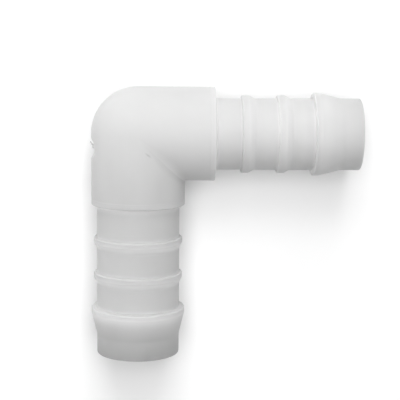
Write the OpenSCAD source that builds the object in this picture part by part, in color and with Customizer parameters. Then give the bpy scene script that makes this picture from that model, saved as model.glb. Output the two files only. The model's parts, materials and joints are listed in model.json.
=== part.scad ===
// Reducing elbow hose connector, moulded in one piece.
// Two hose legs of different size meet at a right angle. Each leg has two low
// grip ribs and one barb, and ends at a stop face on the elbow body.
// The origin is where the two bore axes cross. The small leg points along +X,
// the large leg along -Y, and +Z is up when the connector lies on its side.

/* [Large leg] */
// Outside diameter of the large hose tube
large_tube_d = 15.5; // [14:0.1:20]
// Length of the large leg, from the crossing of the axes to its mouth
large_leg = 41.85; // [34:0.05:70]
// Length of the body from its inner corner to the large leg's hose stop
large_shoulder = 4.55; // [2:0.05:8]
// Length of a rib's crest on the large leg
large_rib_crest = 1.05; // [0.6:0.05:2]

/* [Small leg] */
// Outside diameter of the small hose tube
small_tube_d = 13.4; // [11:0.1:20]
// Length of the small leg, from the crossing of the axes to its mouth
small_leg = 41.55; // [34:0.05:70]
// Length of the body from its inner corner to the small leg's hose stop
small_shoulder = 5.55; // [2:0.05:8]
// Length of a rib's crest on the small leg
small_rib_crest = 1.4; // [0.6:0.05:2]

/* [Wall and hose stop] */
// Wall of both hose tubes
wall = 1.7; // [1:0.1:2.5]
// Height of the hose stops above the larger hose tube
stop_h = 1; // [0.6:0.05:2.5]
// Rounding of the outer edge of each hose stop
stop_round = 0.2; // [0.1:0.05:0.4]
// Width of the witness band that the mould leaves beside each hose stop
band_w = 1.1; // [0.5:0.1:1.8]
// Height of the witness band
band_h = 0.03; // [0.02:0.01:0.1]

/* [Hose grip] */
// Height of the barb above the hose tube
barb_h = 1.05; // [0.6:0.05:1.4]
// Length of the barb's crest
barb_crest = 1.2; // [0.8:0.05:2.5]
// Length of the barb's lead-in cone
barb_cone = 4.2; // [2:0.05:6]
// Length of the plain tube in front of the barb
tip_land = 3.6; // [2:0.05:6]
// Distance from the back of one ring to the back of the next
ring_pitch = 6.7; // [4:0.05:9]
// Least length of bare tube between a hose stop and the first rib
stop_clear = 3; // [1:0.1:5]
// Height of a rib above the hose tube
rib_h = 0.57; // [0.3:0.01:0.9]
// Length of the slope in front of a rib's crest
rib_slope = 1.05; // [0.6:0.05:2]
// Lean of the steep back of a rib or barb, along the leg
back_lean = 0.12; // [0.05:0.01:0.3]
// Rounding of the crests
crest_round = 0.2; // [0.05:0.01:0.25]
// Rounding in the corner at the foot of each steep back
foot_round = 0.15; // [0.05:0.01:0.2]
// Rounding where a rib's slope runs out on the tube
rib_run_out = 0.5; // [0.2:0.1:2]
// Rounding where the barb's cone runs out on the tube
barb_run_out = 3; // [0.2:0.1:8]
// Rounding of the outer edge at each mouth
tip_round = 0.2; // [0.1:0.05:0.9]

/* [Gate mark] */
// Distance of the gate from the small leg's axis, towards the large leg
gate_offset = 2.6; // [1:0.1:4]
// Diameter of the dished recess around the gate
gate_d = 4.2; // [3:0.1:5]
// Depth of the recess
gate_depth = 0.85; // [0.5:0.05:1.1]
// Diameter of the broken gate stub at its foot
stub_d = 1.9; // [1:0.1:2.2]
// Height of the stub above the recess floor
stub_h = 0.45; // [0.2:0.05:0.6]
// Length of the drawn-out wisp of plastic on the stub
wisp_l = 1.05; // [0.5:0.05:1.3]

/* [Hidden] */

large_bore_r = large_tube_d / 2 - wall;
small_bore_r = small_tube_d / 2 - wall;
body_r = max(large_tube_d, small_tube_d) / 2 + stop_h;
band_r = body_r + band_h;
// Distance from the crossing of the axes to each hose stop
large_stop = body_r + large_shoulder;
small_stop = body_r + small_shoulder;
// The stub tapers to its broken top, and stands a little off the recess's centre
stub_top_d = stub_d - 1;
stub_shift = 0.25;
// The wisp points outwards and towards the small leg's side of the body
wisp_angle = 37;
wisp_root_d = 0.24;
wisp_tip_d = 0.12;
// Each rounded corner turns in steps of at most this many degrees
arc_step = 7.5;
// Cutters run past what they cut by this much
over = 1;
$fn = 96;

function unit(v) = v / norm(v);

function turned(v, angle) = [
    v.x * cos(angle) - v.y * sin(angle),
    v.x * sin(angle) + v.y * cos(angle)
];

function turn_between(u, v) = atan2(u.x * v.y - u.y * v.x, u * v);

// The points that round the corner b, between its neighbours a and c, with radius r
function corner_arc(a, b, c, r) =
    r == 0 ? [b] :
    let (
        u = unit(a - b),
        v = unit(c - b),
        half = abs(turn_between(u, v)) / 2,
        centre = b + unit(u + v) * r / sin(half),
        first = b + u * r / tan(half) - centre,
        last = b + v * r / tan(half) - centre,
        sweep = turn_between(first, last),
        steps = max(1, ceil(abs(sweep) / arc_step))
    )
    [for (i = [0 : steps]) centre + turned(first, sweep * i / steps)];

// A closed outline from corners given as [x, y, rounding]
function rounded(corners) =
    let (
        n = len(corners),
        at = [for (c = corners) [c.x, c.y]]
    )
    [
        for (i = [0 : n - 1])
        each corner_arc(at[(i + n - 1) % n], at[i], at[(i + 1) % n], corners[i][2])
    ];

// The corners of one grip ring on a tube of radius r: its steep back is at y,
// then come its crest and the slope that runs out on the tube
function ring_corners(r, y, height, crest, slope, run_out) = [
    [r, y, foot_round],
    [r + height, y + back_lean, crest_round],
    [r + height, y + crest, crest_round],
    [r, y + crest + slope, run_out]
];

// The distance from the crossing to the back of the barb, and of rib i behind it
function barb_back(leg) = leg - tip_land - barb_cone - barb_crest;
function rib_back(leg, i) = barb_back(leg) - i * ring_pitch;

// As many ribs as the tube between the hose stop and the barb has room for
function rib_count(leg, stop) = floor((barb_back(leg) - stop - stop_clear) / ring_pitch);

// Half section of a hose leg, with x as the radius and y as the distance from the crossing
module leg_section(r, leg, stop, rib_crest) {
    ribs = [
        for (i = [rib_count(leg, stop) : -1 : 1])
        each ring_corners(r, rib_back(leg, i), rib_h, rib_crest, rib_slope, rib_run_out)
    ];
    barb = ring_corners(r, barb_back(leg), barb_h, barb_crest, barb_cone, barb_run_out);
    polygon(rounded(concat(
        [[0, 0, 0], [r, 0, 0]],
        ribs,
        barb,
        [[r, leg, tip_round], [0, leg, 0]]
    )));
}

// Half section of one leg of the elbow body, with its hose stop and witness band
module body_section(stop) {
    intersection() {
        circle(r = body_r);
        translate([0, -body_r]) square(body_r);
    }
    polygon(rounded([
        [0, 0, 0],
        [body_r, 0, 0],
        [body_r, stop - band_w, 0],
        [band_r, stop - band_w + band_h, 0],
        [band_r, stop, stop_round],
        [0, stop, 0]
    ]));
}

// One leg of the body along +Z, cut on the mitre towards its neighbour along +X
module mitred_body_leg(stop) {
    reach = 2 * (stop + body_r);
    difference() {
        rotate_extrude() body_section(stop);
        rotate([0, 45, 0]) translate([0, -reach / 2, -reach / 2]) cube(reach);
    }
}

// Turns a shape that is built along +Z, with its neighbour along +X
module on_large_leg() rotate([90, 0, 0]) children();
module on_small_leg() rotate([-90, 0, 0]) rotate([0, 90, 0]) children();

module hose_leg(tube_d, leg, stop, rib_crest)
    rotate_extrude() leg_section(tube_d / 2, leg, stop, rib_crest);

module outer_form() {
    on_large_leg() {
        mitred_body_leg(large_stop);
        hose_leg(large_tube_d, large_leg, large_stop, large_rib_crest);
    }
    on_small_leg() {
        mitred_body_leg(small_stop);
        hose_leg(small_tube_d, small_leg, small_stop, small_rib_crest);
    }
}

// The water way: a core for each leg, and a ball of the larger core's size where they meet
module water_way() {
    on_large_leg() cylinder(r = large_bore_r, h = large_leg + over);
    on_small_leg() cylinder(r = small_bore_r, h = small_leg + over);
    sphere(r = max(large_bore_r, small_bore_r));
}

// Places a shape on the outer side of the body at the gate, with +Z outwards
module at_gate() translate([-body_r, -gate_offset, 0]) rotate([0, -90, 0]) children();

// The dished recess, cut with a ball
module gate_recess() {
    ball_r = (pow(gate_d / 2, 2) + pow(gate_depth, 2)) / (2 * gate_depth);
    at_gate() translate([0, 0, ball_r - gate_depth]) sphere(r = ball_r);
}

// The broken stub of the gate, with a wisp of plastic drawn out of it
module gate_stub() {
    root = gate_depth + over / 2;
    top = stub_h - gate_depth;
    at_gate() {
        translate([0, stub_shift, -root]) cylinder(d1 = stub_d, d2 = stub_top_d, h = root + top);
        translate([0, stub_shift, top - wisp_root_d])
            rotate([-wisp_angle, 0, 0])
            cylinder(d1 = wisp_root_d, d2 = wisp_tip_d, h = wisp_l);
    }
}

module elbow_connector() {
    color("whitesmoke")
    difference() {
        union() {
            difference() {
                outer_form();
                gate_recess();
            }
            gate_stub();
        }
        water_way();
    }
}

elbow_connector();
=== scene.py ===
"""Reducing elbow hose connector: the looks of the one moulded piece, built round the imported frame.

The skin is one closed surface of rings of points. They run from inside the large mouth over the outside of
the connector into the small mouth, and back through the water way. Lengths are in millimetres until a mesh
is made.
"""
import json
import math

import bmesh
import bpy
import numpy as np
from mathutils import Matrix, Vector


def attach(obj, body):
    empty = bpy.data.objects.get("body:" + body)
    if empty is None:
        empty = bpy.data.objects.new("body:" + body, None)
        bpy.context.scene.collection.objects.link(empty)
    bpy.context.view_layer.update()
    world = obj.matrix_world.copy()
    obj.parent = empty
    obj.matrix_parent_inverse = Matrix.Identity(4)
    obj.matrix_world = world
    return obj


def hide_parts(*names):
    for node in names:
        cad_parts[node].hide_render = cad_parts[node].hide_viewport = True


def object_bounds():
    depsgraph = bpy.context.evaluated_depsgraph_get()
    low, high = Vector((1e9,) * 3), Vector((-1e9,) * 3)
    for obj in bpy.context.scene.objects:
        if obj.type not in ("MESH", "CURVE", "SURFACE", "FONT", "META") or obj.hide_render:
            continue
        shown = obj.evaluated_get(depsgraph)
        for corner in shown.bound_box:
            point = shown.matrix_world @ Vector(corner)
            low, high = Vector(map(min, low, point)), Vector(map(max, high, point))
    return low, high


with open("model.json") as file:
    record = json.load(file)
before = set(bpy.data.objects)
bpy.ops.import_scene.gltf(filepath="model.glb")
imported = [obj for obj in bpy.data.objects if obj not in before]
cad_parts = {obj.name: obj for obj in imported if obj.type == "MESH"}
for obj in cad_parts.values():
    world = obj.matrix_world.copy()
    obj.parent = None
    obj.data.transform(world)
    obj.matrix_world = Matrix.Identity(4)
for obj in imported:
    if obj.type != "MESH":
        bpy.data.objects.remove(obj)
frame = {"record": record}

MM = 0.001
CAD_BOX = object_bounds()

# Sizes that the frame gives
MOUNTS = {mount["name"]: mount for mount in frame["record"]["mounts"]}
LARGE_TUBE_R = MOUNTS["large_spigot"]["dims"]["r_mm"]
SMALL_TUBE_R = MOUNTS["small_spigot"]["dims"]["r_mm"]
LARGE_BORE_R = MOUNTS["large_bore"]["dims"]["r_mm"]
SMALL_BORE_R = MOUNTS["small_bore"]["dims"]["r_mm"]
LARGE_STOP = -MOUNTS["large_hose_stop"]["pos_m"][1] / MM
SMALL_STOP = MOUNTS["small_hose_stop"]["pos_m"][0] / MM
LARGE_LEG = round(-CAD_BOX[0].y / MM, 2)
SMALL_LEG = round(CAD_BOX[1].x / MM, 2)
FLOOR_Z = CAD_BOX[0].z / MM

# Elbow body and hose stops. The fillet on the mitre is nearly sharp at the inner corner and wide on top
STOP_H = 1.0
BODY_R = LARGE_TUBE_R + STOP_H
BAND_W = 1.1
BAND_H = 0.03
STOP_ROUND = 0.2
INNER_CORNER_ROUND = 0.12
VALLEY_ROUND = 5.0

# Ribs and barb
BARB_H = 1.05
BARB_CREST = 1.2
BARB_CONE = 4.2
TIP_LAND = 3.6
RING_PITCH = 6.7
RIBS = 2
RIB_H = 0.57
LARGE_RIB_CREST = 1.05
SMALL_RIB_CREST = 1.4
RIB_SLOPE = 1.05
BACK_LEAN = 0.12
CREST_ROUND = 0.2
FOOT_ROUND = 0.15
RIB_RUN_OUT = 0.5
BARB_RUN_OUT = 3.0
TIP_ROUND = 0.2
MOUTH_BREAK = 0.08

# Gate mark, on the outer side of the large leg's end of the body. Its lines, root and tip are pairs of
# distance from the small leg's axis and depth under the skin
RECESS_LINE = [(0.7, 0), (1.1, 0.22), (1.6, 0.58), (2.4, 0.68), (3.0, 0.78), (3.35, 0.78), (3.65, 0.67),
               (4.05, 0.37), (4.4, 0.14), (4.75, 0)]
STUB_LINE = [(1.92, 0.95), (2.04, 0.19), (2.62, 0.17), (3.12, 0.85)]
STUB_HALF = 0.35
STUB_FLANK = 1.6
LINE_ROUND = 0.08
TEAR = 0.04
WISP_ROOT = (2.2, 0.34)
WISP_TIP = (1.48, -0.18)
WISP_SAG = 0.07
WISP_ROOT_R = 0.16
WISP_TIP_R = 0.11
# How much taller than wide the wisp is
WISP_TALL = 1.3

# Small scratch on the body's upper side, drawn only as a darker stroke of painted shade: its middle, its half
# length, half width and reach down, its turn about +Z, and its share of the resin's tone
SCRATCH_AT = (1.9, -3.15, 8.5)
SCRATCH_SIZE = (0.95, 0.3, 1.5)
SCRATCH_TURN = math.radians(-39)
SCRATCH_SHADE = 0.8

# Mould parting line, on the plane of the two axes: its height, and its half width as the sine of an angle.
# What lies further out than a radius just under the small tube's carries it
PARTING_H = 0.025
PARTING_HALF = 0.012
PARTING_FROM_R = SMALL_TUBE_R - 0.01

# Shade painted into the resin's colour, as shares of its tone in the thick elbow. The large leg is painted
# darker between two distances along it, and each mouth's painted shade fades in over a length
LARGE_LEG_SHADE = 0.14
THIN_FROM = -2.0
THIN_TO = LARGE_STOP - 1
LARGE_MOUTH_SHADE = 0.3
LARGE_FADE = 7.0
SMALL_MOUTH_SHADE = 0.16
SMALL_FADE = 4.6
# Painted shade on the thin wisp: the share by which its resin's colour is darker
WISP_SHADE = 0.3
# The next six lists change that tone. They were set from the photo's light along each leg over the render's,
# so they also make up for what the lamps and the skin get wrong there
# Painted light after a hose stop, as pairs of distance from the stop and share
LARGE_STOP_TONE = [(-0.1, 0), (0, 0.5), (0.2, 0.48), (0.4, 0.34), (0.6, 0.24), (0.8, 0.15), (1, 0.07),
                   (1.4, 0)]
SMALL_STOP_TONE = [(-0.1, 0), (0, 0.35), (0.18, 0.35), (0.36, 0.22), (0.55, 0.06), (0.8, 0)]
# Painted highlight and shade over a ridge, as pairs of distance from its steep back and share. A positive
# share is painted highlight, a negative one painted shade
LARGE_RIB_TONE = [(-0.6, 0), (-0.3, 0.07), (-0.1, 0.15), (0.05, 0.05), (0.13, -0.05), (0.3, -0.1),
                  (0.45, -0.04), (0.65, 0.04), (0.85, 0.05), (1, 0.11), (1.2, 0.22), (1.4, 0.31),
                  (1.65, 0.28), (1.9, 0.25), (2.1, 0.16), (2.3, 0.05), (2.6, 0)]
LARGE_BARB_TONE = [(-0.6, 0), (-0.25, 0.08), (-0.06, 0.24), (0.04, 0.14), (0.11, 0), (0.24, -0.05),
                   (0.45, 0.04), (0.65, 0.09), (0.95, 0.13), (1.2, 0.19), (1.4, 0.22), (1.6, 0.19), (2, 0.13),
                   (2.4, 0.09), (3, 0.05), (4, 0.02), (5, 0)]
SMALL_RIB_TONE = [(-0.6, 0), (-0.35, 0.01), (-0.1, 0.17), (0.07, 0.18), (0.2, -0.03), (0.45, -0.02),
                  (1, -0.01), (1.35, 0.02), (1.6, 0.05), (2, 0.07), (2.4, 0.07), (2.8, 0.03), (3.2, 0)]
SMALL_BARB_TONE = [(-2, 0), (-1.4, -0.025), (-0.7, -0.03), (-0.35, -0.02), (-0.16, 0.07), (0.03, 0.3),
                   (0.1, 0.08), (0.25, -0.1), (0.45, -0.08), (0.65, -0.04), (1, -0.01), (1.4, 0.03),
                   (1.9, 0.045), (2.6, 0.035), (3.6, 0)]

# Patterns in the resin and on its skin, as the size of one cloud, wave or grain. The grain that blasting
# leaves is finer than 0.1 mm and is drawn twice as coarse, or it wouldn't show
CLOUD_SIZE = 5.56
WAVE_SIZE = 3.125
GRAIN_SIZE = 0.192

# Light that the backdrop and the far floor show
BACKDROP = 0.78
# Floor, in metres: the ring over which it takes that light on, and half its width
FLOOR_GLOW_FROM = 0.35
FLOOR_GLOW_TO = 1.2
FLOOR_HALF = 3.0

# How finely the skin is divided: columns round the tube, the turn of one step in a rounded corner, the length
# of one step on a straight, and the rings of each stretch
ROUND_STEPS = 176
ARC_STEP = math.radians(18)
LONGEST_STRAIGHT = 0.3
ELBOW_STEPS = 40
ROWS_BEFORE_GATE = 4
GATE_ROWS = 52
ROWS_AFTER_GATE = 8
SMALL_BODY_ROWS = 14
BALL_RINGS = 17
BORE_RINGS = 12
# Share by which the columns are packed closer towards the parting lines
PACKING = 0.28
WISP_RINGS = 22
WISP_SIDES = 14

# Two faces that meet at a sharper turn than this keep their edge
SHARP_TURN = math.radians(38)
# Points closer than this are one point
MERGE = 0.0005


# Shapes: profiles

def arc(before, corner, after, radius):
    """The points that round a corner: an arc of that radius, tangent to both sides.

    Its centre lies on the corner's bisector at radius / sin(half angle), and the points turn about it in
    equal steps from one tangent point to the other. A corner that hardly turns stays one point.
    """
    u = (before - corner) / np.linalg.norm(before - corner)
    v = (after - corner) / np.linalg.norm(after - corner)
    half = math.acos(np.clip(u @ v, -1, 1)) / 2
    if radius == 0 or half > math.radians(89.9):
        return corner[None, :]
    bisector = (u + v) / np.linalg.norm(u + v)
    centre = corner + bisector * radius / math.sin(half)
    first = corner + u * radius / math.tan(half) - centre
    sweep = math.pi - 2 * half
    turn = math.copysign(1, u[0] * v[1] - u[1] * v[0])
    angles = -turn * np.linspace(0, sweep, max(2, math.ceil(sweep / ARC_STEP)) + 1)
    cos, sin = np.cos(angles), np.sin(angles)
    return centre + np.column_stack([first[0] * cos - first[1] * sin, first[0] * sin + first[1] * cos])


def rounded_profile(corners):
    """A line through corners given as (along, radius, rounding), with its straights divided evenly."""
    at = np.array([corner[:2] for corner in corners], float)
    runs = [at[:1]]
    for i in range(1, len(at) - 1):
        runs.append(arc(at[i - 1], at[i], at[i + 1], corners[i][2]))
    runs.append(at[-1:])
    points = np.vstack(runs)
    steps = np.linalg.norm(np.diff(points, axis=0), axis=1)
    parts = []
    for start, end, step in zip(points[:-1], points[1:], steps):
        share = np.linspace(0, 1, max(1, math.ceil(step / LONGEST_STRAIGHT)), endpoint=False)[:, None]
        parts.append(start + (end - start) * share)
    return np.vstack(parts + [points[-1:]])


def ring_corners(tube_r, back, height, crest, slope, run_out):
    """A rib or barb: a steep back, a crest, and a slope that runs out on the tube towards the mouth."""
    return [
        (back, tube_r, FOOT_ROUND),
        (back + BACK_LEAN, tube_r + height, CREST_ROUND),
        (back + crest, tube_r + height, CREST_ROUND),
        (back + crest + slope, tube_r, run_out),
    ]


def leg_profile(tube_r, bore_r, stop, leg, rib_crest):
    """Half section of a hose leg as (along, radius), from its witness band over the mouth into the bore.

    It has straight lines between corners, each rounded with its own radius.
    """
    barb_back = leg - TIP_LAND - BARB_CONE - BARB_CREST
    band_r = BODY_R + BAND_H
    corners = [
        (stop - BAND_W, BODY_R, 0),
        (stop - BAND_W + BAND_H, band_r, 0),
        (stop, band_r, STOP_ROUND),
        (stop, tube_r, FOOT_ROUND),
    ]
    for i in range(RIBS, 0, -1):
        rib_back = barb_back - i * RING_PITCH
        corners += ring_corners(tube_r, rib_back, RIB_H, rib_crest, RIB_SLOPE, RIB_RUN_OUT)
    corners += ring_corners(tube_r, barb_back, BARB_H, BARB_CREST, BARB_CONE, BARB_RUN_OUT)
    corners += [
        (leg, tube_r, TIP_ROUND),
        (leg, bore_r, MOUTH_BREAK),
        (leg - TIP_LAND, bore_r, 0),
    ]
    return rounded_profile(corners)


# Shapes: rings of points, all with the same number of points, counted from the outer side of the bend

def around():
    """Angles round the tube, 0 on the outer side of the bend, packed closer towards both parting lines.

    With u running evenly round the tube, the angle is u less a share of sin 2u.
    """
    u = np.arange(ROUND_STEPS) * 2 * math.pi / ROUND_STEPS
    return u - PACKING * np.sin(2 * u)


def on_large_leg(along, radius, angle):
    """Points at a distance along -Y, a radius from that axis and an angle that goes from -X through +Z."""
    along, radius, angle = np.broadcast_arrays(along, radius, angle)
    return np.stack([-radius * np.cos(angle), -along, radius * np.sin(angle)], -1)


def on_small_leg(along, radius, angle):
    """Points at a distance along +X, a radius from that axis and an angle that goes from +Y through +Z."""
    along, radius, angle = np.broadcast_arrays(along, radius, angle)
    return np.stack([along, radius * np.cos(angle), radius * np.sin(angle)], -1)


def slerp(start, end, t):
    """Unit vectors turned evenly from start to end: sin((1-t)w) start + sin(tw) end over sin w.

    Where the two all but agree, they are mixed evenly instead.
    """
    w = np.arccos(np.clip((start * end).sum(-1, keepdims=True), -1, 1))
    near = w < 1e-4
    safe = np.where(near, 1, np.sin(w))
    even = (np.sin((1 - t) * w) * start + np.sin(t * w) * end) / safe
    return np.where(near, start * (1 - t) + end * t, even)


def parting_ridge(angle):
    """The height of the fine raised line at 0 and at half a turn: full there, and evenly down to nothing."""
    beside = np.abs(np.sin(angle))
    return PARTING_H * np.clip(1 - beside / PARTING_HALF, 0, 1)


def mitre_round(angle):
    """The radius of the fillet along the mitre.

    It is least at the inner corner, and grows with the square of the sine towards the top and the bottom,
    where the two legs run into each other.
    """
    return INNER_CORNER_ROUND + (VALLEY_ROUND - INNER_CORNER_ROUND) * np.sin(angle) ** 2


def outer_elbow(angle):
    """The bend of the body, as rings from the large leg to the small leg.

    On the outer half a ring's points turn a quarter circle about Z on the ball of the body's radius. On the
    inner half they lie on a fillet that follows the mitre: a ball of the fillet's radius rolls along the
    crossing of two cylinders that are larger by that radius, and each point is at the ball's centre less the
    radius times a direction that turns from one cylinder's normal to the other's.
    """
    t = np.linspace(0, 1, ELBOW_STEPS + 1)[:, None, None]
    radius = BODY_R + parting_ridge(angle)
    quarter = t[..., 0] * math.pi / 2
    cos, sin = radius * np.cos(angle), radius * np.sin(angle)
    ball = np.stack([-cos * np.cos(quarter), cos * np.sin(quarter), sin + 0 * quarter], -1)
    c, s = -np.cos(angle), np.sin(angle)
    towards_large = np.stack([c, 0 * c, s], -1)
    towards_small = np.stack([0 * c, -c, s], -1)
    fillet_r = mitre_round(angle)[:, None]
    centre = (BODY_R + fillet_r) * np.stack([c, -c, s], -1)
    fillet = centre - fillet_r * slerp(towards_large, towards_small, t)
    return np.where((c > 0)[None, :, None], fillet, ball)


def body_rings(angle, stations, end, place, depth=0):
    """The straight of a body leg: rings from the bend's edge, that deep under the skin.

    Each ring lies at its station's share of the way to the end, the witness band.
    """
    first = np.where(np.cos(angle) < 0, (BODY_R + mitre_round(angle)) * -np.cos(angle), 0)
    share = stations[:, None] / end
    return place(first + (end - first) * share, BODY_R + parting_ridge(angle) - depth, angle)


def leg_rings(profile, angle, place):
    """One ring for each point of a leg's profile, with the parting line on the outside.

    The line stands no higher than the witness band.
    """
    along, radius = profile[:, :1], profile[:, 1:]
    outside = radius > PARTING_FROM_R
    raised = np.minimum(radius + parting_ridge(angle), BODY_R + BAND_H)
    return place(along, np.where(outside, np.maximum(radius, raised), radius), angle)


def water_way(angle):
    """Rings from the small bore through the ball to the large bore.

    The small core meets the ball on a circle, and the large core on the curve where two cylinders cross. The
    large core's rings start with their points moved round, so that they share that curve, and even out
    towards the mouth. Between circle and large core the points turn on the ball.
    """
    big, small = LARGE_BORE_R, SMALL_BORE_R
    inner = np.cos(angle) < 0
    signed = np.where(angle > math.pi, angle - 2 * math.pi, angle)
    crossing_x = np.sqrt(big ** 2 - (small * np.sin(angle)) ** 2)
    join_x = np.where(inner, crossing_x, math.sqrt(big ** 2 - small ** 2))
    join = on_small_leg(join_x, small, angle)
    corner = math.pi - math.asin(small / big)
    moved_inner = np.sign(signed) * (math.pi - np.arcsin(small / big * np.abs(np.sin(angle))))
    moved = np.where(inner, moved_inner, signed * corner / (math.pi / 2))
    large_start = np.where(inner, -small * np.cos(angle), 0)
    edge = on_large_leg(large_start, big, moved)
    t = np.linspace(0, 1, BALL_RINGS)[1:-1, None, None]
    ball = big * slerp(join / big, edge / big, t)
    ball = np.where(inner[None, :, None], join, ball)
    rows = np.linspace(0, 1, BORE_RINGS)[:, None]
    small_end, large_end = SMALL_LEG - TIP_LAND, LARGE_LEG - TIP_LAND
    small_rings = on_small_leg(small_end + (join_x - small_end) * rows, small, angle)
    turn = moved + (signed - moved) * rows
    large_rings = on_large_leg(large_start + (large_end - large_start) * rows, big, turn)
    return np.concatenate([small_rings[1:], ball, large_rings[:-1]])


# Shapes: the gate mark

def soft_line(along, line):
    """Depths along a line through pairs of distance and depth.

    Each is the mean of five places on a short stretch of the line, which softens its corners.
    """
    knots = np.array(line)
    around_it = np.linspace(-LINE_ROUND, LINE_ROUND, 5)[:, None, None]
    return np.interp(along + around_it, knots[:, 0], knots[:, 1]).mean(0)


def torn(along, across):
    """A rough, torn height between -1 and 1: the sum of three slanting sine waves that don't line up."""
    coarse = 0.5 * np.sin(11 * along + 5 * across) + 0.3 * np.sin(7 * along - 13 * across + 1)
    return coarse + 0.2 * np.sin(23 * along + 17 * across)


def gate_depth(along, angle):
    """How deep the gate mark lies under the body's skin, at a distance along the large leg and an angle.

    The recess is cut straight through the round of the body, square to the parting plane. Its floor is flat
    across: it lies at a radius of (body radius - depth) / cos(angle), with the cosine kept from zero far
    outside the recess. The stub stands in it with a torn top, and with flanks that fall evenly beyond half
    its width. The shallower of the two is what shows.
    """
    along, angle = np.broadcast_arrays(along, angle)
    floor = BODY_R - (BODY_R - soft_line(along, RECESS_LINE)) / np.maximum(np.cos(angle), 0.5)
    across = BODY_R * np.sin(angle)
    top = soft_line(along, STUB_LINE) + STUB_FLANK * np.maximum(np.abs(across) - STUB_HALF, 0)
    stub = np.where(np.cos(angle) > 0, top + TEAR * torn(along, across), BODY_R)
    return np.clip(np.minimum(floor, stub), 0, None)


# Shapes: light and shade painted into the resin's colour

def share_at(distance, pairs):
    """The share that a list of distance and share gives, evenly between its pairs."""
    knots = np.array(pairs)
    return np.interp(distance, knots[:, 0], knots[:, 1])


def ridge_tone(along, height, stop, leg, stop_tone, rib_tone, barb_tone):
    """How much painted highlight or painted shade a leg gets, at a point that far along it and that high
    above its tube.

    It is the sum of what the lists say for the hose stop, each rib and the barb: painted highlight where it
    is paler, painted shade where it is darker. It likely stands in for light which enters a ridge and comes
    out in front of its crest, and for two walls that light each other at the foot of a steep back or hose
    stop. At the stop the share goes evenly to nothing at a rib's height. The water way has none of it.
    """
    tone = share_at(along - stop, stop_tone) * np.clip(1 - height / RIB_H, 0, 1)
    for i in range(RIBS + 1):
        from_back = along - (leg - TIP_LAND - BARB_CONE - BARB_CREST - i * RING_PITCH)
        tone = tone + share_at(from_back, rib_tone if i else barb_tone)
    return np.where(height > -MOUTH_BREAK, tone, 0)


def milkiness(points):
    """Painted light and shade in the resin's colour at each point, as a share of its tone in the thick elbow.

    It falls along the large leg's end of the body to that leg's thinner wall, by t t (3 - 2 t), and evenly
    towards both open mouths, as painted shade for the light that leaks out of the end. The painted highlight
    and shade of the ridges comes on top.
    """
    x, y, z = points.T
    large = -y > x
    along = np.where(large, -y, x)
    height = np.hypot(np.where(large, x, y), z) - np.where(large, LARGE_TUBE_R, SMALL_TUBE_R)
    to_mouth = np.where(large, LARGE_LEG, SMALL_LEG) - along
    t = np.clip((along - THIN_FROM) / (THIN_TO - THIN_FROM), 0, 1)
    thin = np.where(large, LARGE_LEG_SHADE * t * t * (3 - 2 * t), 0)
    leak = np.where(large, LARGE_MOUTH_SHADE, SMALL_MOUTH_SHADE)
    leak = leak * np.clip(1 - to_mouth / np.where(large, LARGE_FADE, SMALL_FADE), 0, 1)
    large_tones = (LARGE_STOP_TONE, LARGE_RIB_TONE, LARGE_BARB_TONE)
    small_tones = (SMALL_STOP_TONE, SMALL_RIB_TONE, SMALL_BARB_TONE)
    on_large = ridge_tone(along, height, LARGE_STOP, LARGE_LEG, *large_tones)
    on_small = ridge_tone(along, height, SMALL_STOP, SMALL_LEG, *small_tones)
    return 1 - thin - leak + np.where(large, on_large, on_small)


# Meshes

def ring_faces(rings, columns, closed=True):
    """Quads between the rings of a grid whose points are numbered ring by ring.

    A closed grid joins its last ring to its first.
    """
    ring = np.arange(rings if closed else rings - 1)[:, None]
    column = np.arange(columns)[None, :]
    nxt, beside = (ring + 1) % rings, (column + 1) % columns
    return np.stack([ring * columns + column, ring * columns + beside, nxt * columns + beside,
                     nxt * columns + column], -1)


def mesh_piece(name, points, faces, material, shade_share=0):
    """A mesh object from points in mm, with points that coincide merged and faces turned outwards.

    Its points carry the painted light and shade of their place, for the material, made darker by that share
    of painted shade.
    """
    mesh = bpy.data.meshes.new(name)
    mesh.from_pydata((points * MM).tolist(), [], faces)
    shape = bmesh.new()
    shape.from_mesh(mesh)
    bmesh.ops.remove_doubles(shape, verts=shape.verts, dist=MERGE * MM)
    bmesh.ops.recalc_face_normals(shape, faces=shape.faces)
    shape.to_mesh(mesh)
    shape.free()
    mesh.shade_smooth()
    mesh.set_sharp_from_angle(angle=SHARP_TURN)
    mesh.materials.append(material)
    # Painted light and shade, kept on each point for the material
    at = np.empty(3 * len(mesh.vertices), np.float32)
    mesh.vertices.foreach_get("co", at)
    tone = milkiness(at.reshape(-1, 3) / MM) * (1 - shade_share)
    mesh.attributes.new("milkiness", "FLOAT", "POINT").data.foreach_set("value", tone)
    piece = bpy.data.objects.new(name, mesh)
    bpy.context.scene.collection.objects.link(piece)
    return piece


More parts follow.
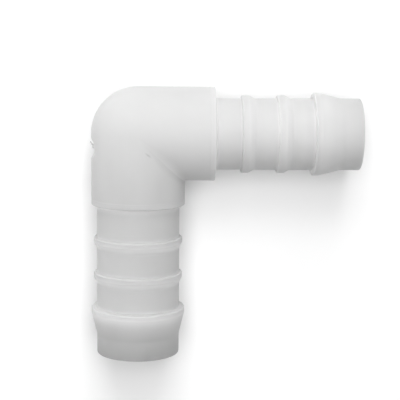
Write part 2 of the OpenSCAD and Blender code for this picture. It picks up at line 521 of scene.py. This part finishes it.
def connector_skin(material):
    """The whole moulding as one closed surface of rings, which lie close where the gate mark is."""
    angle = around()
    large_end, small_end = LARGE_STOP - BAND_W, SMALL_STOP - BAND_W
    gate_from, gate_to = RECESS_LINE[0][0] - LINE_ROUND, RECESS_LINE[-1][0] + LINE_ROUND
    large_stations = np.concatenate([
        np.linspace(0, gate_from, ROWS_BEFORE_GATE)[:-1],
        np.linspace(gate_from, gate_to, GATE_ROWS),
        np.linspace(gate_to, large_end, ROWS_AFTER_GATE)[1:-1],
    ])
    small_stations = np.linspace(0, small_end, SMALL_BODY_ROWS)[1:-1]
    large = leg_profile(LARGE_TUBE_R, LARGE_BORE_R, LARGE_STOP, LARGE_LEG, LARGE_RIB_CREST)
    small = leg_profile(SMALL_TUBE_R, SMALL_BORE_R, SMALL_STOP, SMALL_LEG, SMALL_RIB_CREST)
    inwards = large_stations[:0:-1]
    rings = np.concatenate([
        leg_rings(large[::-1], angle, on_large_leg),
        body_rings(angle, inwards, large_end, on_large_leg, gate_depth(inwards[:, None], angle)),
        outer_elbow(angle),
        body_rings(angle, small_stations, small_end, on_small_leg),
        leg_rings(small, angle, on_small_leg),
        water_way(angle),
    ])
    faces = ring_faces(len(rings), ROUND_STEPS)
    return mesh_piece("connector", rings.reshape(-1, 3), faces.reshape(-1, 4).tolist(), material)


def gate_wisp(material):
    """The drawn-out wisp on the stub: a thin tube from root to tip that sags a little between them.

    Its middle line is root + (tip - root) t, moved aside by the sag times 4 t (1 - t). Its radius goes evenly
    from root to tip. Over the last fifth it is multiplied by the square root of 1 - s squared, where s runs
    from 0 to 1, which rounds the tip but leaves a hundredth of it. Rings at t = 1 - (1 - even steps) to the
    power 1.6 lie closer there.
    """
    t = (1 - (1 - np.linspace(0, 1, WISP_RINGS)) ** 1.6)[:, None]
    turn = np.arange(WISP_SIDES)[None, :] * 2 * math.pi / WISP_SIDES
    root = np.array([-(BODY_R - WISP_ROOT[1]), -WISP_ROOT[0]])
    tip = np.array([-(BODY_R - WISP_TIP[1]), -WISP_TIP[0]])
    ahead = (tip - root) / np.linalg.norm(tip - root)
    aside = np.array([ahead[1], -ahead[0]])
    middle = root + (tip - root) * t - aside * WISP_SAG * 4 * t * (1 - t)
    near_tip = np.clip((t - 0.8) / 0.2, 0, 1)
    radius = (WISP_ROOT_R + (WISP_TIP_R - WISP_ROOT_R) * t) * np.sqrt(np.maximum(1 - near_tip ** 2, 1e-4))
    x = middle[:, :1] + aside[0] * radius * np.cos(turn)
    y = middle[:, 1:] + aside[1] * radius * np.cos(turn)
    z = WISP_TALL * radius * np.sin(turn)
    points = np.stack([x, y, z], -1)
    faces = ring_faces(WISP_RINGS, WISP_SIDES, closed=False).reshape(-1, 4).tolist()
    root_end = list(range(WISP_SIDES))[::-1]
    tip_end = list(range((WISP_RINGS - 1) * WISP_SIDES, WISP_RINGS * WISP_SIDES))
    return mesh_piece("gate_wisp", points.reshape(-1, 3), faces + [root_end, tip_end], material, WISP_SHADE)


# Materials

def linear(hex_colour):
    """An sRGB hex colour as linear RGBA."""
    values = [int(hex_colour[i:i + 2], 16) / 255 for i in (1, 3, 5)]
    return [v / 12.92 if v <= 0.04045 else ((v + 0.055) / 1.055) ** 2.4 for v in values] + [1]


def add_node(tree, kind, links=None, **settings):
    """Adds a node. Settings with a name of the node set it, others set the input of that name, and links join
    an input to another node's output."""
    node = tree.nodes.new(kind)
    for key, value in settings.items():
        if hasattr(node, key):
            setattr(node, key, value)
        else:
            node.inputs[key.replace("_", " ")].default_value = value
    for key, source in (links or {}).items():
        tree.links.new(source, node.inputs[key])
    return node


def natural_polyamide():
    """Natural polyamide, injection moulded in a finely blasted steel mould.

    The resin is a translucent white and lets light in by a millimetre or two. Its colour also carries painted
    light and shade from the skin's attribute: darker where light leaks out of a thin end, and paler where it
    comes out of a ridge. The blasted steel leaves a satin skin with a fine grain and broad, soft highlights.
    The scratch is a darker stroke of painted shade on it.
    """
    material = bpy.data.materials.new("natural_polyamide_moulded")
    material.use_nodes = True
    tree = material.node_tree
    tree.nodes.clear()
    place = add_node(tree, "ShaderNodeTexCoord")
    at = place.outputs["Object"]
    clouds = add_node(tree, "ShaderNodeTexNoise", {"Vector": at}, Scale=1 / (CLOUD_SIZE * MM), Detail=3.0)
    grain = add_node(tree, "ShaderNodeTexNoise", {"Vector": at}, Scale=1 / (GRAIN_SIZE * MM), Detail=2.0)
    waves = add_node(tree, "ShaderNodeTexNoise", {"Vector": at}, Scale=1 / (WAVE_SIZE * MM), Detail=1.0)
    colour = add_node(tree, "ShaderNodeMixRGB", {"Fac": clouds.outputs["Fac"]},
                      Color1=linear("#C8C8C8"), Color2=linear("#CCCCCC"))
    painted_light_attr = add_node(tree, "ShaderNodeAttribute", attribute_name="milkiness")
    # Painted shade of the scratch: the resin's colour is darker towards the middle of a small turned
    # ellipsoid
    scratch = add_node(tree, "ShaderNodeMapping", {"Vector": at}, vector_type="TEXTURE")
    scratch.inputs["Location"].default_value = [v * MM for v in SCRATCH_AT]
    scratch.inputs["Rotation"].default_value = (0, 0, SCRATCH_TURN)
    scratch.inputs["Scale"].default_value = [v * MM for v in SCRATCH_SIZE]
    beside = add_node(tree, "ShaderNodeVectorMath", {"Vector": scratch.outputs["Vector"]}, operation="LENGTH")
    scratch_shade = add_node(tree, "ShaderNodeMapRange", {"Value": beside.outputs["Value"]},
                      interpolation_type="SMOOTHSTEP")
    scratch_shade.inputs["To Min"].default_value = SCRATCH_SHADE
    # Painted light and shade of the skin, times the scratch's painted shade
    tone = add_node(tree, "ShaderNodeMath", operation="MULTIPLY")
    tree.links.new(painted_light_attr.outputs["Fac"], tone.inputs[0])
    tree.links.new(scratch_shade.outputs["Result"], tone.inputs[1])
    # The resin's colour, made darker or paler by that painted light and shade
    resin = add_node(tree, "ShaderNodeVectorMath", {
        "Vector": colour.outputs["Color"],
        "Scale": tone.outputs["Value"],
    }, operation="SCALE")
    rough = add_node(tree, "ShaderNodeMapRange", {"Value": clouds.outputs["Fac"]})
    rough.inputs["To Min"].default_value = 0.52
    rough.inputs["To Max"].default_value = 0.6
    fine = add_node(tree, "ShaderNodeBump", {"Height": grain.outputs["Fac"]},
                    Strength=0.12, Distance=0.03 * MM)
    bump = add_node(tree, "ShaderNodeBump", {
        "Height": waves.outputs["Fac"],
        "Normal": fine.outputs["Normal"],
    }, Strength=0.2, Distance=0.2 * MM)
    skin = add_node(tree, "ShaderNodeBsdfPrincipled", {
        "Base Color": resin.outputs["Vector"],
        "Roughness": rough.outputs["Result"],
        "Normal": bump.outputs["Normal"],
    })
    skin.inputs["IOR"].default_value = 1.53
    skin.inputs["Specular IOR Level"].default_value = 0.2
    skin.inputs["Subsurface Weight"].default_value = 1.0
    skin.inputs["Subsurface Radius"].default_value = (1.0, 1.0, 1.0)
    skin.inputs["Subsurface Scale"].default_value = 2 * MM
    add_node(tree, "ShaderNodeOutputMaterial", {"Surface": skin.outputs["BSDF"]})
    return material


def pale_floor_paint():
    """Matt white paint on a smooth board: an even pale ground with no gloss.

    Far from the connector it glows a little, as a floor does that lamps out of view light evenly.
    """
    material = bpy.data.materials.new("matt_white_paint")
    material.use_nodes = True
    tree = material.node_tree
    skin = tree.nodes["Principled BSDF"]
    skin.inputs["Base Color"].default_value = linear("#F4F4F4")
    skin.inputs["Roughness"].default_value = 0.9
    skin.inputs["Specular IOR Level"].default_value = 0.1
    skin.inputs["Emission Color"].default_value = (1, 1, 1, 1)
    place = add_node(tree, "ShaderNodeTexCoord")
    away = add_node(tree, "ShaderNodeVectorMath", {"Vector": place.outputs["Object"]}, operation="LENGTH")
    glow = add_node(tree, "ShaderNodeMapRange", {"Value": away.outputs["Value"]},
                    interpolation_type="SMOOTHSTEP")
    glow.inputs["From Min"].default_value = FLOOR_GLOW_FROM
    glow.inputs["From Max"].default_value = FLOOR_GLOW_TO
    glow.inputs["To Max"].default_value = BACKDROP
    tree.links.new(glow.outputs["Result"], skin.inputs["Emission Strength"])
    return material


# Stage, light and camera

def pale_floor():
    """A flat square under the connector, which lies on it."""
    z = FLOOR_Z * MM
    corners = [(x * FLOOR_HALF, y * FLOOR_HALF, z) for x, y in ((-1, -1), (1, -1), (1, 1), (-1, 1))]
    mesh = bpy.data.meshes.new("floor")
    mesh.from_pydata(corners, [], [(0, 1, 2, 3)])
    mesh.materials.append(pale_floor_paint())
    floor = bpy.data.objects.new("floor", mesh)
    bpy.context.scene.collection.objects.link(floor)


def soft_light(name, at, size, power):
    """A square softbox that looks at the connector's middle, with its place and size in metres."""
    light = bpy.data.lights.new(name, "AREA")
    light.shape = "SQUARE"
    light.size = size
    light.energy = power
    lamp = bpy.data.objects.new(name, light)
    bpy.context.scene.collection.objects.link(lamp)
    lamp.location = at
    middle = Vector((0.012, -0.012, 0))
    lamp.rotation_euler = (middle - Vector(at)).to_track_quat("-Z", "Y").to_euler()


def studio_light():
    """Softboxes above, to the north and low in the west, two weak fills and a backdrop.

    North is +Y and west is -X. The lamps' strengths follow a fit of the render to the photo's light on the
    connector and the floor. The backdrop is only seen and lights nothing.
    """
    world = bpy.data.worlds.new("studio")
    world.use_nodes = True
    backdrop = world.node_tree.nodes["Background"]
    backdrop.inputs["Color"].default_value = (BACKDROP, BACKDROP, BACKDROP, 1)
    seen = add_node(world.node_tree, "ShaderNodeLightPath")
    world.node_tree.links.new(seen.outputs["Is Camera Ray"], backdrop.inputs["Strength"])
    bpy.context.scene.world = world
    soft_light("key_softbox", (0.01, 0.0, 0.50), 0.40, 1.97)
    soft_light("north_softbox", (0.01, 0.41, 0.30), 0.32, 1.16)
    soft_light("high_north_softbox", (0.01, 0.29, 0.42), 0.32, 0.93)
    soft_light("low_west_softbox", (-0.48, 0.0, 0.12), 0.20, 0.68)
    soft_light("low_south_east_fill", (0.35, -0.35, 0.12), 0.20, 0.1)
    soft_light("east_fill", (0.38, 0.0, 0.32), 0.20, 0.16)
    bpy.context.scene.view_settings.view_transform = "Standard"


def camera():
    """The camera that the outline in the photograph fits, about 230 mm above and tilted from the vertical."""
    pitch, yaw, roll = math.radians(8.858), math.radians(2.384), math.radians(-0.510)
    at = Vector((2.07, 23.40, 230.53)) * MM
    turn = Matrix.Rotation(roll, 3, "Z") @ Matrix.Rotation(pitch, 3, "X") @ Matrix.Rotation(yaw, 3, "Y")
    lens = bpy.data.cameras.new("camera")
    lens.sensor_width = 36
    lens.lens = 111.33
    lens.clip_start, lens.clip_end = 0.01, 20
    view = bpy.data.objects.new("camera", lens)
    bpy.context.scene.collection.objects.link(view)
    view.matrix_world = Matrix.Translation(at) @ turn.transposed().to_4x4()
    bpy.context.scene.camera = view


polyamide = natural_polyamide()
connector = connector_skin(polyamide)
wisp = gate_wisp(polyamide)
for piece in (connector, wisp):
    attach(piece, "root")
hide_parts("elbow_connector")

pale_floor()
studio_light()
camera()
